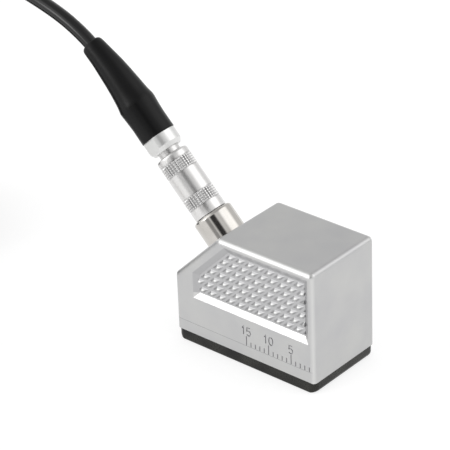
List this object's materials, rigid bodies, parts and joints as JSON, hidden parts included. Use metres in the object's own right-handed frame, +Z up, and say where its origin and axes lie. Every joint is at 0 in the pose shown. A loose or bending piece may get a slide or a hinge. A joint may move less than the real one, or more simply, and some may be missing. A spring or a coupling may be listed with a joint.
{
  "type": "ultrasonic angle beam probe",
  "caption": "Ultrasonic angle beam probe: small metal block with grip recess and scale, wear sole, and a cable on a push-pull plug.",
  "frame": {"origin": "centre of the sole's contact face, which lies on the tested surface", "axes": "+X towards the plain front face, from which the scale is counted; +Y across the block; +Z up, away from the tested surface"},
  "size_m": [0.1224, 0.0449, 0.0558],
  "materials": {
    "housing": "fine satin plated metal",
    "sole": "black moulded plastic",
    "socket_metal": "polished nickel",
    "plug_metal": "satin plated metal",
    "boot_rubber": "black satin rubber",
    "cable_jacket": "smooth black jacket",
    "tie_strap": "black hook and loop strap",
    "wedge_acrylic": "amber acrylic",
    "ceramic": "fired electrodes on ceramic",
    "dark_resin": "filled epoxy",
    "ferrite": "sintered ferrite",
    "copper_wire": "enamelled copper",
    "brass_part": "plain turned brass",
    "gold_contact": "gold plated",
    "insulator": "pale engineering plastic"
  },
  "bodies": {
    "probe": {"housing": "housing", "wear_sole": "sole", "wedge": "wedge_acrylic", "crystal": "ceramic", "backing": "dark_resin", "absorber": "dark_resin", "coil_core": "ferrite", "coil_winding": "copper_wire", "crystal_lead": "copper_wire", "coil_lead": "copper_wire", "ground_lead": "copper_wire", "ground_tag": "brass_part", "socket_nut": "brass_part", "socket_shell": "socket_metal", "socket_insulator": "insulator", "socket_contact": "gold_contact", "potting": "dark_resin", "plug_body": "plug_metal", "plug_latch": "brass_part", "plug_insulator": "insulator", "plug_pin": "gold_contact", "plug_collet": "brass_part", "collet_nut": "plug_metal", "plug_boot": "boot_rubber", "plug_cable_end": "cable_jacket", "cable": "cable_jacket", "cable_coil": "cable_jacket", "coil_tie": "tie_strap", "cable_tail": "cable_jacket", "far_plug_body": "plug_metal", "far_plug_latch": "brass_part", "far_plug_insulator": "insulator", "far_plug_pin": "gold_contact", "far_plug_collet": "brass_part", "far_collet_nut": "plug_metal", "far_plug_boot": "boot_rubber", "far_plug_cable_end": "cable_jacket"},
    "release_sleeve": {"plug_sleeve": "plug_metal"},
    "far_release_sleeve": {"far_plug_sleeve": "plug_metal"}
  },
  "joints": [
    {"name": "sleeve_release", "type": "slide", "parent": "probe", "child": "release_sleeve", "axis": [-0.7071, 0, 0.7071], "range_m": [0, 0.0009], "stiffness_N_per_m": 1000, "springref_m": -0.001},
    {"name": "far_sleeve_release", "type": "slide", "parent": "probe", "child": "far_release_sleeve", "axis": [-0.9999, 0, 0.0157], "range_m": [0, 0.0009], "stiffness_N_per_m": 1000, "springref_m": -0.001}
  ]
}
